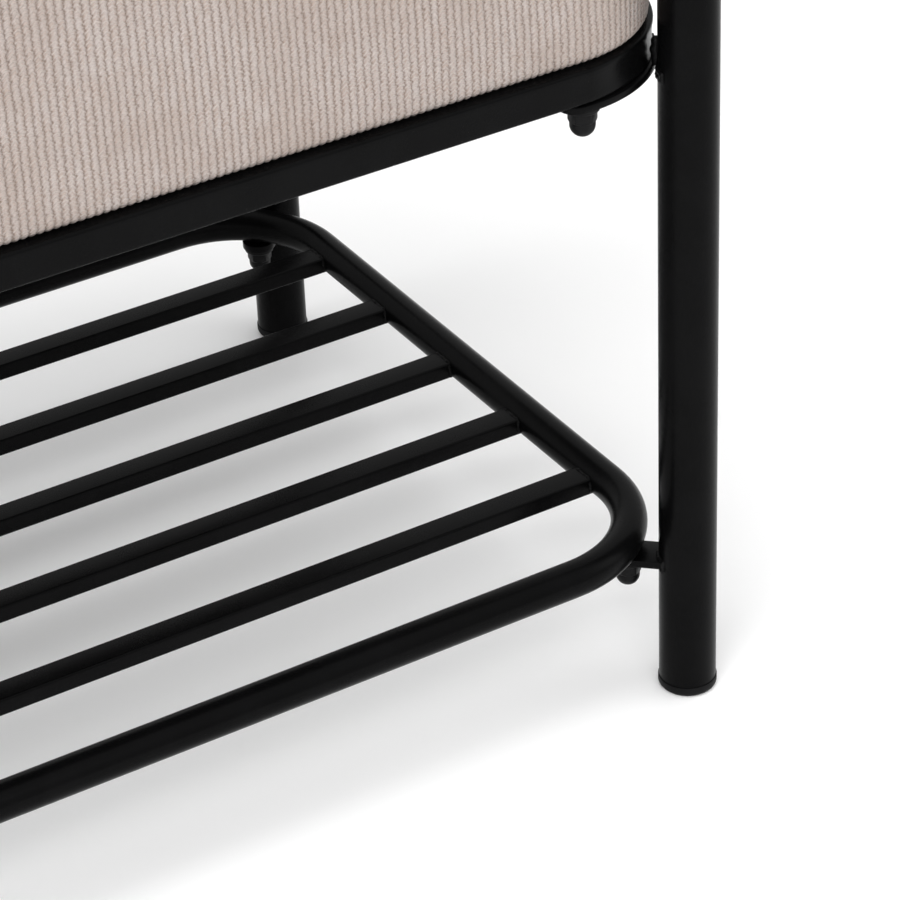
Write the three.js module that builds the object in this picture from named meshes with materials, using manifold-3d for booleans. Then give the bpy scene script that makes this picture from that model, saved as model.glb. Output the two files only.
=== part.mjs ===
// Entryway bench: a padded seat on a bent tube frame, held between two tube hoops over a slatted shoe rack.
// Millimetres. +X runs along the bench, -Y is its front and +Z is up. The origin is on the floor at its centre.
import * as THREE from "three";
import { mergeVertices } from "three/addons/utils/BufferGeometryUtils.js";
import Module from "manifold-3d";

const wasm = await Module();
wasm.setup();

// ---------- Overall ----------
const LENGTH = 1000; // outside of the left legs to outside of the right legs
const DEPTH = 389; // front of the front legs to back of the rear legs
const HEIGHT = 600; // floor to the top of the hoops
const GAP = 0.3; // clearance between pieces that touch, on every side

// ---------- End hoops and their feet ----------
const LEG_D = 25;
const LEG_WALL = 1.5;
const HOOP_BEND = 80; // radius of the tube's centre line in the two top bends
const FOOT_HEIGHT = 5; // part of the cap that shows below the tube
const FOOT_LIP = 0.4; // how far the cap stands proud of the tube
const FOOT_EDGE = 2.5; // rounding of the cap's bottom edge
const FOOT_PLUG = 18; // part of the cap inside the tube
const FOOT_WALL = 2;

// ---------- Shoe rack ----------
const RACK_Z = 75.9; // height of the tube's centre line
const RACK_D = 16;
const RACK_WALL = 1.2;
const RACK_BEND = 53; // radius of the centre line in the corners
const RACK_INSET_X = 3.7; // centre line of the end runs, inboard of the legs' centres
const RACK_INSET_Y = 2.1; // centre line of the long runs, inboard of the legs' centres
const SLAT_COUNT = 5;
const SLAT_W = 12.7;
const SLAT_T = 8;
const SLAT_WALL = 1;
const SLAT_ROUND = 1.5;
const SLAT_MARGIN = 62.2; // centre line of a long run to the centre of the first slat
const SLAT_DROP = 1; // centre of the slats below the tube's centre line
const TAB_W = 16; // tab between a leg and the rack's corner
const TAB_T = 3.5;

// ---------- Seat frame ----------
const RAIL_Z = 302; // underside of the rail
const RAIL_SIZE = 15; // square tube
const RAIL_WALL = 1.2;
const RAIL_ROUND = 1.5; // rounding of the tube's long edges
const RAIL_CLEAR = 1.97; // leg's surface to the rail's outer face in the corners
const RAIL_OUT_X = 8.7; // outer face of the end runs, outboard of the legs' centres
const RAIL_OUT_Y = 4.6; // outer face of the long runs, outboard of the legs' centres
const CROSS_BARS = 2;
const PLATE_W = 15; // plate welded to a leg, under the rail's corner
const PLATE_T = 3;
const PLATE_PROUD = 0.4; // how far the plate stands past the rail's face
const PLATE_ARM = 48.5; // stud to the centre of the leg, along the rail
const PLATE_SWEEP = 70; // degrees that the plate follows the corner

// ---------- Studs, cap nuts and screws ----------
const STUD_D = 6;
const STUD_HEAD_D = 9;
const STUD_HEAD_T = 1.2;
const NUT_HEIGHT = 13.5;
const NUT_FLANGE_D = 14.2;
const NUT_FLANGE_T = 1.8;
const NUT_HEX = 10; // across flats
const NUT_HEX_T = 5;
const NUT_DOME_D = 9.6;
const NUT_BORE_DEPTH = 10.5;
const SCREW_D = 4;
const SCREW_HEAD_D = 8.4;
const SCREW_HEAD_T = 2.6;
const SCREW_BITE = 9; // length of the screw inside the board
const SCREW_MARGIN = 70; // screw to the outer face of the long rail

// ---------- Cushion ----------
const CUSHION_H = 128; // underside to top
const CUSHION_INSET = 3.5; // side of the cushion to the rail's outer face
const CUSHION_EDGE = 24; // rounding of the top edge
const FABRIC_T = 2;
const TURN_UNDER = 32; // width of the fabric folded under the board
const BOARD_T = 12;
const DUST_COVER_T = 0.8;

// ---------- Places that follow from the sizes above ----------
const LEG_R = LEG_D / 2;
const LEG_X = LENGTH / 2 - LEG_R;
const LEG_Y = DEPTH / 2 - LEG_R;
const RACK_R = RACK_D / 2;
const RACK_X = LEG_X - RACK_INSET_X;
const RACK_Y = LEG_Y - RACK_INSET_Y;
const RAIL_X = LEG_X + RAIL_OUT_X;
const RAIL_Y = LEG_Y + RAIL_OUT_Y;
const RAIL_BEND = cornerRadius(RAIL_OUT_X, RAIL_OUT_Y, LEG_R + RAIL_CLEAR);
const RAIL_TOP = RAIL_Z + RAIL_SIZE;
const STUD_HOLE_R = STUD_D / 2 + GAP;
const SCREW_HOLE_R = SCREW_D / 2 + GAP;
const CUSHION_X = RAIL_X - CUSHION_INSET;
const CUSHION_Y = RAIL_Y - CUSHION_INSET;
const CUSHION_CORNER = RAIL_BEND - CUSHION_INSET;
const CUSHION_Z = RAIL_TOP + GAP;
const BOARD_Z = CUSHION_Z + FABRIC_T + GAP;
const CROSS_BAR_LENGTH = 2 * (RAIL_Y - RAIL_SIZE - GAP);

const POWDER_COAT = { color: 0x0c0c0c, roughness: 0.42, metalness: 0.2 };
const BLACK_PLASTIC = { color: 0x0a0a0a, roughness: 0.5, metalness: 0 };
const BLACK_ZINC = { color: 0x101010, roughness: 0.35, metalness: 0.6 };
const WEAVE = { color: 0xc2b2a6, roughness: 0.95, metalness: 0 };
const FOAM = { color: 0xe8dcb4, roughness: 1, metalness: 0 };
const PLYWOOD = { color: 0xb08d5c, roughness: 0.7, metalness: 0 };
const NONWOVEN = { color: 0x161616, roughness: 1, metalness: 0 };

// Radius of the outer face that passes a leg at one distance from its centre, when the two straight faces
// that it joins lie outboard of that centre.
function cornerRadius(outX, outY, distance) {
  const sum = outX + outY + distance;
  return sum + Math.sqrt(sum ** 2 - outX ** 2 - outY ** 2 + distance ** 2);
}

// ---------- Solids ----------
const at = (x, y, z) => new THREE.Vector3(x, y, z);

// A geometry's closed surface as a solid for cutting and joining.
function solidOf(geometry) {
  const bare = geometry.clone();
  bare.deleteAttribute("normal");
  bare.deleteAttribute("uv");
  const merged = mergeVertices(bare, 1e-4);
  const vertProperties = new Float32Array(merged.attributes.position.array);
  const triVerts = new Uint32Array(merged.index.array);
  return new wasm.Manifold(new wasm.Mesh({ numProp: 3, vertProperties, triVerts }));
}

// A solid as a flat-shaded geometry.
function geometryOf(solid) {
  const { vertProperties, triVerts } = solid.getMesh();
  const indexed = new THREE.BufferGeometry();
  indexed.setAttribute("position", new THREE.BufferAttribute(vertProperties, 3));
  indexed.setIndex(new THREE.BufferAttribute(triVerts, 1));
  const flat = indexed.toNonIndexed();
  flat.computeVertexNormals();
  return flat;
}

// An upright round bar between two heights.
function bar(x, y, radius, low, high, sides = 16) {
  const round = new THREE.CylinderGeometry(radius, radius, high - low, sides).rotateX(Math.PI / 2);
  return solidOf(round.translate(x, y, (low + high) / 2));
}

// A profile of (radius, height) points turned round the Z axis.
function turned(profile, sides = 16) {
  const points = profile.map(([radius, height]) => new THREE.Vector2(radius, height));
  return new THREE.LatheGeometry(points, sides).rotateX(Math.PI / 2);
}

// ---------- Outlines ----------
function disc(radius) {
  return new THREE.Shape().absarc(0, 0, radius, 0, 2 * Math.PI);
}

function roundedRectangle(halfX, halfY, round) {
  const outline = new THREE.Shape();
  outline.absarc(halfX - round, round - halfY, round, -Math.PI / 2, 0);
  outline.absarc(halfX - round, halfY - round, round, 0, Math.PI / 2);
  outline.absarc(round - halfX, halfY - round, round, Math.PI / 2, Math.PI);
  outline.absarc(round - halfX, round - halfY, round, Math.PI, 1.5 * Math.PI);
  return outline.closePath();
}

function hollow(outer, inner) {
  outer.holes.push(inner);
  return outer;
}

function roundTube(diameter, wall) {
  return hollow(disc(diameter / 2), disc(diameter / 2 - wall));
}

function boxTube(width, height, round, wall) {
  const inside = roundedRectangle(width / 2 - wall, height / 2 - wall, Math.max(round - wall, 0.4));
  return hollow(roundedRectangle(width / 2, height / 2, round), inside);
}

// A flat outline raised between two heights.
function plate(outline, low, high, arcSteps) {
  const settings = { depth: high - low, bevelEnabled: false, curveSegments: arcSteps };
  return solidOf(new THREE.ExtrudeGeometry(outline, settings).translate(0, 0, low));
}

// ---------- Bent tubes ----------
// A path known only at its stations, so that steps fall where the tube bends and not along its straight runs.
class BentPath extends THREE.Curve {
  constructor(stations) {
    super();
    this.stations = stations;
  }
  stationAt(u) {
    return this.stations[Math.round(u * (this.stations.length - 1))];
  }
  getPointAt(u) {
    return this.stationAt(u).point.clone();
  }
  getTangentAt(u) {
    return this.stationAt(u).tangent.clone();
  }
}

function heading(from, to) {
  return to.clone().sub(from).normalize();
}

// Straight runs between corners, with a round bend of one radius at each corner.
function bentPath(corners, bend, steps) {
  const last = corners.length - 1;
  const stations = [{ point: corners[0], tangent: heading(corners[0], corners[1]) }];
  for (let i = 1; i < last; i++) {
    const arriving = heading(corners[i - 1], corners[i]);
    const leaving = heading(corners[i], corners[i + 1]);
    const inward = leaving.clone().addScaledVector(arriving, -arriving.dot(leaving)).normalize();
    const turn = arriving.angleTo(leaving);
    const start = corners[i].clone().addScaledVector(arriving, -bend * Math.tan(turn / 2));
    for (let step = 0; step <= steps; step++) {
      const angle = (turn * step) / steps;
      const ahead = arriving.clone().multiplyScalar(bend * Math.sin(angle));
      const aside = inward.clone().multiplyScalar(bend * (1 - Math.cos(angle)));
      const tangent = arriving.clone().multiplyScalar(Math.cos(angle)).addScaledVector(inward, Math.sin(angle));
      stations.push({ point: start.clone().add(ahead).add(aside), tangent });
    }
  }
  stations.push({ point: corners[last], tangent: heading(corners[last - 1], corners[last]) });
  return new BentPath(stations);
}

function sweep(section, path, arcSteps) {
  const settings = { extrudePath: path, steps: path.stations.length - 1, curveSegments: arcSteps };
  return solidOf(new THREE.ExtrudeGeometry(section, settings));
}

// A level loop of tube, bent as two halves that are joined at the middle of the long runs.
function bentLoop(section, halfX, halfY, bend, z, arcSteps) {
  const lap = 1;
  const corners = [at(-lap, -halfY, z), at(halfX, -halfY, z), at(halfX, halfY, z), at(-lap, halfY, z)];
  const half = sweep(section, bentPath(corners, bend, 6), arcSteps);
  return half.add(half.mirror([1, 0, 0]));
}

// ---------- End hoops ----------
function endFrame(side) {
  const x = side * LEG_X;
  const foot = FOOT_HEIGHT + GAP;
  const top = HEIGHT - LEG_R;
  const corners = [at(x, -LEG_Y, foot), at(x, -LEG_Y, top), at(x, LEG_Y, top), at(x, LEG_Y, foot)];
  return sweep(roundTube(LEG_D, LEG_WALL), bentPath(corners, HOOP_BEND, 7), 10);
}

// A cup that closes the tube's end, with a rounded rim under it.
function footCap() {
  const rim = LEG_R + FOOT_LIP;
  const plug = LEG_R - LEG_WALL - GAP;
  const edge = [0, 30, 60, 90].map((degrees) => {
    const angle = THREE.MathUtils.degToRad(degrees);
    return [rim - FOOT_EDGE + FOOT_EDGE * Math.sin(angle), FOOT_EDGE - FOOT_EDGE * Math.cos(angle)];
  });
  const inside = [
    [rim, FOOT_HEIGHT],
    [plug, FOOT_HEIGHT],
    [plug, FOOT_HEIGHT + FOOT_PLUG],
    [plug - FOOT_WALL, FOOT_HEIGHT + FOOT_PLUG],
    [plug - FOOT_WALL, FOOT_HEIGHT],
    [0, FOOT_HEIGHT],
  ];
  return turned([[0, 0], ...edge, ...inside], 20);
}

// ---------- Corner pieces ----------
// They are drawn in a corner's own frame: its leg's centre is the origin, +X and +Y point inboard.
const BEND_REACH = RACK_BEND * (1 - Math.SQRT1_2);
const RACK_STUD = at(RACK_INSET_X + BEND_REACH, RACK_INSET_Y + BEND_REACH, 0);
const TAB_TOP = RACK_Z - RACK_R - GAP;
const SEAT_STUD = at(PLATE_ARM, RAIL_SIZE / 2 - RAIL_OUT_Y, 0);
const PLATE_TOP = RAIL_Z - GAP;

// The tab from a leg to the stud under the middle of the rack's corner.
function rackTab() {
  const half = TAB_W / 2;
  const outline = new THREE.Shape().moveTo(0, -half);
  outline.absarc(Math.hypot(RACK_STUD.x, RACK_STUD.y), 0, half, -Math.PI / 2, Math.PI / 2);
  outline.lineTo(0, half);
  const turn = THREE.MathUtils.radToDeg(Math.atan2(RACK_STUD.y, RACK_STUD.x));
  const low = TAB_TOP - TAB_T;
  return plate(outline.closePath(), low, TAB_TOP, 6)
    .rotate([0, 0, turn])
    .subtract(bar(0, 0, LEG_R + GAP, low - 1, TAB_TOP + 1))
    .subtract(bar(RACK_STUD.x, RACK_STUD.y, STUD_HOLE_R, low - 1, TAB_TOP + 1));
}

// The plate under the seat rail: a straight arm with a round end, then a bend that meets the leg.
function seatPlate() {
  const outer = RAIL_BEND + PLATE_PROUD;
  const inner = outer - PLATE_W;
  const centre = new THREE.Vector2(RAIL_BEND - RAIL_OUT_X, RAIL_BEND - RAIL_OUT_Y);
  const start = -Math.PI / 2;
  const end = start - THREE.MathUtils.degToRad(PLATE_SWEEP);
  const armEnd = Math.max(PLATE_ARM, centre.x) + 3;
  const outline = new THREE.Shape();
  outline.absarc(centre.x, centre.y, outer, end, start);
  outline.absarc(armEnd, centre.y - outer + PLATE_W / 2, PLATE_W / 2, start, -start);
  outline.absarc(centre.x, centre.y, inner, start, end, true);
  const low = PLATE_TOP - PLATE_T;
  return plate(outline.closePath(), low, PLATE_TOP, 6)
    .subtract(bar(0, 0, LEG_R + GAP, low - 1, PLATE_TOP + 1))
    .subtract(bar(SEAT_STUD.x, SEAT_STUD.y, STUD_HOLE_R, low - 1, PLATE_TOP + 1));
}

// A stud from its head inside a tube down into its nut, which hangs under the plate.
function stud(headZ, plateZ) {
  const tip = plateZ - GAP - NUT_BORE_DEPTH + 1;
  const r = STUD_D / 2;
  const head = STUD_HEAD_D / 2;
  const top = headZ + STUD_HEAD_T;
  return turned([[0, tip], [r - 0.8, tip], [r, tip + 0.8], [r, headZ], [head, headZ], [head, top], [0, top]], 12);
}

// A flanged cap nut with its dome down; its flange meets the plate.
function capNut(plateZ) {
  const top = plateZ - GAP;
  const bottom = top - NUT_HEIGHT;
  const hexLow = top - NUT_FLANGE_T - NUT_HEX_T;
  const domeR = NUT_DOME_D / 2;
  const dome = [0, 30, 60, 90].map((degrees) => {
    const angle = THREE.MathUtils.degToRad(degrees);
    return [domeR * Math.sin(angle), bottom + domeR * (1 - Math.cos(angle))];
  });
  const flangeLow = top - NUT_FLANGE_T;
  const flangeR = NUT_FLANGE_D / 2;
  const body = [...dome, [domeR, flangeLow], [flangeR, flangeLow + 0.5], [flangeR, top], [0, top]];
  const hex = bar(0, 0, NUT_HEX / Math.sqrt(3), hexLow, flangeLow + 0.6, 6);
  const bore = bar(0, 0, STUD_HOLE_R, top - NUT_BORE_DEPTH, top + 1, 12);
  return geometryOf(solidOf(turned(body, 12)).add(hex).subtract(bore));
}

// ---------- Shoe rack ----------
function rackFrame() {
  let frame = bentLoop(roundTube(RACK_D, RACK_WALL), RACK_X, RACK_Y, RACK_BEND, RACK_Z, 7);
  for (const [x, y] of cornerPlaces(RACK_STUD)) {
    frame = frame.subtract(bar(x, y, STUD_HOLE_R, TAB_TOP - 1, RACK_Z));
  }
  return frame;
}

function rackSlat(index) {
  const span = 2 * (RACK_Y - SLAT_MARGIN);
  const y = SLAT_COUNT > 1 ? (index / (SLAT_COUNT - 1) - 0.5) * span : 0;
  const z = RACK_Z - SLAT_DROP;
  const section = boxTube(SLAT_T, SLAT_W, SLAT_ROUND, SLAT_WALL);
  const slat = sweep(section, bentPath([at(-RACK_X, y, z), at(RACK_X, y, z)], 0, 0), 1);
  const side = new THREE.CylinderGeometry(RACK_R + GAP, RACK_R + GAP, 2 * SLAT_W, 24);
  const cope = solidOf(side).translate([RACK_X, y, RACK_Z]);
  return slat.subtract(cope).subtract(cope.mirror([1, 0, 0]));
}

// ---------- Seat frame ----------
function seatFrame() {
  const middle = RAIL_SIZE / 2;
  const section = boxTube(RAIL_SIZE, RAIL_SIZE, RAIL_ROUND, RAIL_WALL);
  let frame = bentLoop(section, RAIL_X - middle, RAIL_Y - middle, RAIL_BEND - middle, RAIL_Z + middle, 1);
  for (const [x, y] of cornerPlaces(SEAT_STUD)) {
    frame = frame.subtract(bar(x, y, STUD_HOLE_R, RAIL_Z - 1, RAIL_Z + middle));
  }
  return frame;
}

function crossBarX(index) {
  return ((index + 1) / (CROSS_BARS + 1) - 0.5) * 2 * (RAIL_X - RAIL_SIZE);
}

function screwPlaces() {
  const y = RAIL_Y - SCREW_MARGIN;
  const bars = Array.from({ length: CROSS_BARS }, (_, index) => crossBarX(index));
  return bars.flatMap((x) => [[x, -y], [x, y]]);
}

function crossBar(index) {
  const x = crossBarX(index);
  const end = CROSS_BAR_LENGTH / 2;
  const z = RAIL_Z + RAIL_SIZE / 2;
  const section = boxTube(RAIL_SIZE, RAIL_SIZE, RAIL_ROUND, RAIL_WALL);
  let tube = sweep(section, bentPath([at(x, -end, z), at(x, end, z)], 0, 0), 1);
  for (const [screwX, y] of screwPlaces()) {
    tube = tube.subtract(bar(screwX, y, SCREW_HOLE_R, RAIL_Z - 1, RAIL_TOP + 1));
  }
  return tube;
}

// A pan-head screw up through a cross bar into the board.
function cushionScrew() {
  const r = SCREW_D / 2;
  const head = SCREW_HEAD_D / 2;
  const headTop = RAIL_Z - GAP;
  const headLow = headTop - SCREW_HEAD_T;
  const tip = BOARD_Z + SCREW_BITE;
  const panHead = [[0, headLow], [head - 1.5, headLow], [head, headLow + 1.5], [head, headTop], [r, headTop]];
  return turned([...panHead, [r, tip - 3], [0, tip]], 12);
}

// ---------- Cushion ----------
// A block with rounded corners and a rounded top edge; its underside is flat.
function padBlock(halfX, halfY, corner, edge, low, high) {
  const outline = roundedRectangle(halfX - edge, halfY - edge, corner - edge);
  const bevel = { bevelThickness: edge, bevelSize: edge, bevelSegments: 4, curveSegments: 5 };
  const block = solidOf(new THREE.ExtrudeGeometry(outline, { depth: high - low, ...bevel }));
  const below = solidOf(new THREE.BoxGeometry(3 * halfX, 3 * halfY, 4 * edge));
  return block.translate([0, 0, low - edge]).subtract(below.translate([0, 0, low - 2 * edge]));
}

function cushionBlock(shrink, low, high) {
  const corner = CUSHION_CORNER - shrink;
  return padBlock(CUSHION_X - shrink, CUSHION_Y - shrink, corner, CUSHION_EDGE - shrink, low, high);
}

function cushionPlate(shrink, low, high) {
  return plate(roundedRectangle(CUSHION_X - shrink, CUSHION_Y - shrink, CUSHION_CORNER - shrink), low, high, 5);
}

// The fabric: a shell over the top and sides, folded under the board all round.
function cushionCover() {
  const top = CUSHION_Z + CUSHION_H;
  return cushionBlock(0, CUSHION_Z, top)
    .subtract(cushionBlock(FABRIC_T, CUSHION_Z + FABRIC_T, top - FABRIC_T))
    .subtract(cushionPlate(TURN_UNDER, CUSHION_Z - 1, CUSHION_Z + FABRIC_T + 1));
}

function foamBlock() {
  const high = CUSHION_Z + CUSHION_H - FABRIC_T - GAP;
  return cushionBlock(FABRIC_T + GAP, BOARD_Z + BOARD_T + GAP, high);
}

function seatBoard() {
  let board = cushionPlate(FABRIC_T + GAP, BOARD_Z, BOARD_Z + BOARD_T);
  for (const [x, y] of screwPlaces()) {
    board = board.subtract(bar(x, y, SCREW_HOLE_R, BOARD_Z - 1, BOARD_Z + SCREW_BITE + GAP));
  }
  return board;
}

// Thin non-woven cloth inside the folded edge; the screws pass through it.
function dustCover() {
  let sheet = cushionPlate(TURN_UNDER + GAP, CUSHION_Z, CUSHION_Z + DUST_COVER_T);
  for (const [x, y] of screwPlaces()) {
    sheet = sheet.subtract(bar(x, y, SCREW_HOLE_R, CUSHION_Z - 1, CUSHION_Z + 2));
  }
  return sheet;
}

// ---------- Assembly ----------
const CORNERS = [
  { name: "front_left", x: -1, y: -1 },
  { name: "front_right", x: 1, y: -1 },
  { name: "rear_left", x: -1, y: 1 },
  { name: "rear_right", x: 1, y: 1 },
];

// The four places on the bench of one point given in a corner's frame.
function cornerPlaces(point) {
  return CORNERS.map((corner) => [corner.x * (LEG_X - point.x), corner.y * (LEG_Y - point.y)]);
}

function mesh(name, shape, finish) {
  const geometry = shape.isBufferGeometry ? shape : geometryOf(shape);
  const made = new THREE.Mesh(geometry, new THREE.MeshStandardMaterial(finish));
  made.name = name;
  return made;
}

// The pieces at one leg, in the corner's frame, which is mirrored into place.
function cornerPieces({ name, x, y }) {
  const group = new THREE.Group();
  const rackHead = RACK_Z - Math.sqrt((RACK_R - RACK_WALL) ** 2 - (STUD_HEAD_D / 2) ** 2) + GAP;
  const seatHead = RAIL_Z + RAIL_WALL + GAP;
  const tabLow = TAB_TOP - TAB_T;
  const plateLow = PLATE_TOP - PLATE_T;
  const rackStud = mesh(`rack_stud_${name}`, stud(rackHead, tabLow), BLACK_ZINC);
  const rackNut = mesh(`rack_cap_nut_${name}`, capNut(tabLow), BLACK_ZINC);
  const seatStud = mesh(`seat_stud_${name}`, stud(seatHead, plateLow), BLACK_ZINC);
  const seatNut = mesh(`seat_cap_nut_${name}`, capNut(plateLow), BLACK_ZINC);
  rackStud.position.copy(RACK_STUD);
  rackNut.position.copy(RACK_STUD);
  seatStud.position.copy(SEAT_STUD);
  seatNut.position.copy(SEAT_STUD);
  group.add(rackStud, rackNut, seatStud, seatNut);
  group.add(mesh(`foot_cap_${name}`, footCap(), BLACK_PLASTIC));
  group.add(mesh(`rack_tab_${name}`, rackTab(), POWDER_COAT));
  group.add(mesh(`seat_plate_${name}`, seatPlate(), POWDER_COAT));
  group.position.set(x * LEG_X, y * LEG_Y, 0);
  group.scale.set(-x, -y, 1);
  return group;
}

const bench = new THREE.Group();
bench.add(mesh("end_frame_left", endFrame(-1), POWDER_COAT));
bench.add(mesh("end_frame_right", endFrame(1), POWDER_COAT));
CORNERS.forEach((corner) => bench.add(cornerPieces(corner)));
bench.add(mesh("rack_frame", rackFrame(), POWDER_COAT));
for (let i = 0; i < SLAT_COUNT; i++) {
  bench.add(mesh(`rack_slat_${i + 1}`, rackSlat(i), POWDER_COAT));
}
bench.add(mesh("seat_frame", seatFrame(), POWDER_COAT));
for (let i = 0; i < CROSS_BARS; i++) {
  bench.add(mesh(`seat_cross_bar_${i + 1}`, crossBar(i), POWDER_COAT));
}
screwPlaces().forEach(([x, y], i) => {
  const screw = mesh(`cushion_screw_${i + 1}`, cushionScrew(), BLACK_ZINC);
  screw.position.set(x, y, 0);
  bench.add(screw);
});
bench.add(mesh("seat_board", seatBoard(), PLYWOOD));
bench.add(mesh("foam_block", foamBlock(), FOAM));
bench.add(mesh("cushion_cover", cushionCover(), WEAVE));
bench.add(mesh("dust_cover", dustCover(), NONWOVEN));

export default bench;
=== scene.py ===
"""Looks of an entryway bench: tube hoops, a slatted shoe rack and a ribbed cushion on a square-tube frame.

Metres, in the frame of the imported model: +X along the bench, -Y to its front, +Z up, origin on the floor.
Each operator makes one piece, or one group of like pieces, in the place that the frame gives.
"""

import contextlib
import math
import random

import bmesh
import bpy
import numpy as np
from mathutils import Matrix, Vector


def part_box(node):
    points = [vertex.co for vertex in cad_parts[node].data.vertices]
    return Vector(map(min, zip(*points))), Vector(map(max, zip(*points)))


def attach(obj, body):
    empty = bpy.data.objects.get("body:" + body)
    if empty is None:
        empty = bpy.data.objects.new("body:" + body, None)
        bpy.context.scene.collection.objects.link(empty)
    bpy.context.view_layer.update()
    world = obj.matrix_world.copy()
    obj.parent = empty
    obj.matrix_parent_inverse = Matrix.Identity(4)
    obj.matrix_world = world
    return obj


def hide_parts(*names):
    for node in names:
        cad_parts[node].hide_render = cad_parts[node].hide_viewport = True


bl_info = {
    "name": "Entryway Bench",
    "version": (1, 0, 0),
    "blender": (4, 5, 0),
    "location": "View3D > Sidebar > Bench",
    "description": "Builds an entryway bench with a shoe rack, piece by piece, round its frame",
    "category": "Object",
}

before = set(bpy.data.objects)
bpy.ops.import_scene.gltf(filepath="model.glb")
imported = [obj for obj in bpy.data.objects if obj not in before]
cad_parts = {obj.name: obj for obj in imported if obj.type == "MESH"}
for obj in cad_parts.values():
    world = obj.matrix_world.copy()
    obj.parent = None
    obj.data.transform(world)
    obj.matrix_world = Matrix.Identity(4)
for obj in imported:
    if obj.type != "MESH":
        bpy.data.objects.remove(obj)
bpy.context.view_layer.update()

MM = 0.001
RIGHT_ANGLE = math.pi / 2
CORNERS = {"front_left": (-1, -1), "front_right": (1, -1), "rear_left": (-1, 1), "rear_right": (1, 1)}
SIDES = {"left": -1, "right": 1}


# ---------------------------------------------------------------- sizes and finishes
def length(name, description, millimetres):
    """A length property whose default is given in millimetres."""
    return bpy.props.FloatProperty(
        name=name, description=description, default=millimetres * MM, unit="LENGTH", subtype="DISTANCE"
    )


def angle(name, description, degrees):
    return bpy.props.FloatProperty(
        name=name, description=description, default=math.radians(degrees), subtype="ANGLE"
    )


def power(name, description, watts):
    return bpy.props.FloatProperty(name=name, description=description, default=watts, unit="POWER")


def colour(name, description, *rgb):
    return bpy.props.FloatVectorProperty(
        name=name, description=description, default=rgb, subtype="COLOR", size=3, min=0, max=1
    )


class BENCH_PG_frame(bpy.types.PropertyGroup):
    """Sizes of the metal frame that its box alone doesn't give"""

    tube_sides: bpy.props.IntProperty(name="Tube sides", description="Flat sides of a round tube", default=56)
    bend_steps: bpy.props.IntProperty(name="Bend steps", description="Steps in a right-angled bend", default=24)
    hoop_bend: length("Hoop bend", "Centre-line radius of a hoop's two top bends", 80)
    hoop_wall: length("Hoop wall", "Wall of the hoop tube", 1.5)
    rack_bend: length("Rack bend", "Centre-line radius of the rack's corners", 53)
    rail_bend: length("Rail bend", "Radius of the seat rail's outer face in the corners", 57.5)
    rail_round: length("Rail edge", "Rounding of the seat rail's long edges", 1.5)
    rail_sink: length("Rail sink", "How far the outer wall is drawn in where the square tube is bent", 2)
    slat_round: length("Slat edge", "Rounding of a slat's long edges", 1.1)
    plate_sweep: angle("Plate sweep", "How far a seat plate follows the corner", 70)


class BENCH_PG_nut(bpy.types.PropertyGroup):
    """Sizes of the flanged cap nuts"""

    flange: length("Flange", "Diameter of the flange", 14.2)
    flange_depth: length("Flange thickness", "Thickness of the flange", 1.8)
    hexagon: length("Hexagon", "Width across the flats", 10.6)
    hexagon_depth: length("Hexagon height", "Height of the hexagon under the flange", 5)
    dome: length("Dome", "Diameter of the domed end", 10.6)


class BENCH_PG_cushion(bpy.types.PropertyGroup):
    """Shape of the cushion and the rib of its fabric"""

    corner: length("Corner", "Radius of the outline's corners", 54)
    edge: length("Top edge", "Rounding between the sides and the top", 24)
    under_edge: length("Lower edge", "Rounding where the fabric turns under the board", 4.5)
    turn_under: length("Turn-under", "Width of the fabric folded under the board", 32)
    rib: length("Rib", "Distance from one rib to the next", 3.34)
    rib_height: length("Rib height", "Height of a rib over the gap beside it", 0.6)
    stitch: length("Stitch", "Length of one stitch along a rib", 1.95)
    crown: length("Crown", "How far the pressed cover moves where it moves most", 9)


class BENCH_PG_finish(bpy.types.PropertyGroup):
    """Colours of the finishes"""

    coat: colour("Powder coat", "Satin black of the frame", 0.0018, 0.0018, 0.0019)
    plastic: colour("Foot caps", "Black of the moulded foot caps", 0.003, 0.003, 0.0032)
    zinc: colour("Fasteners", "Black plating of nuts, studs and screws", 0.003, 0.003, 0.0032)
    yarn: colour("Yarn", "Light of the chenille yarn", 0.46, 0.405, 0.38)
    yarn_warm: colour("Warm yarn", "Warmer strands in the yarn", 0.405, 0.33, 0.29)
    gap: colour("Gap", "Brown between two ribs", 0.19, 0.13, 0.096)
    foam: colour("Foam", "Open-cell foam", 0.80, 0.72, 0.50)
    ply: colour("Plywood", "Face of the seat board", 0.48, 0.33, 0.18)
    cloth: colour("Dust cover", "Non-woven cloth", 0.02, 0.02, 0.02)


class BENCH_PG_stage(bpy.types.PropertyGroup):
    """Floor, light and camera"""

    floor: colour("Floor", "Plain pale floor", 0.99, 0.99, 0.99)
    world: bpy.props.FloatProperty(name="Surrounding light", description="Strength of the white room", default=0.92)
    key: power("Key light", "Power of the large light", 34)
    fill: power("Fill light", "Power of the side light", 6)
    strip: power("Strip light", "Power of the strip light", 28)
    azimuth: angle("Azimuth", "Turn of the camera about the upright", -30.289)
    elevation: angle("Elevation", "Camera's angle above the horizon", 33.006)
    roll: angle("Roll", "Camera's turn about its own axis", -2.324)
    lens: bpy.props.FloatProperty(name="Lens", description="Focal length in millimetres", default=143.676)
    place: bpy.props.FloatVectorProperty(
        name="Camera place", description="Where the camera stands", default=(-0.239153, -1.227144, 0.950347),
        subtype="XYZ", unit="LENGTH",
    )


# ---------------------------------------------------------------- working with pieces
def rest():
    """Leaves edit mode and deselects everything."""
    if bpy.context.mode != "OBJECT":
        bpy.ops.object.mode_set(mode="OBJECT")
    bpy.ops.object.select_all(action="DESELECT")


def take(*pieces):
    """Selects these pieces alone; the last one is active."""
    rest()
    for piece in pieces:
        piece.select_set(True)
        bpy.context.view_layer.objects.active = piece


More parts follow.
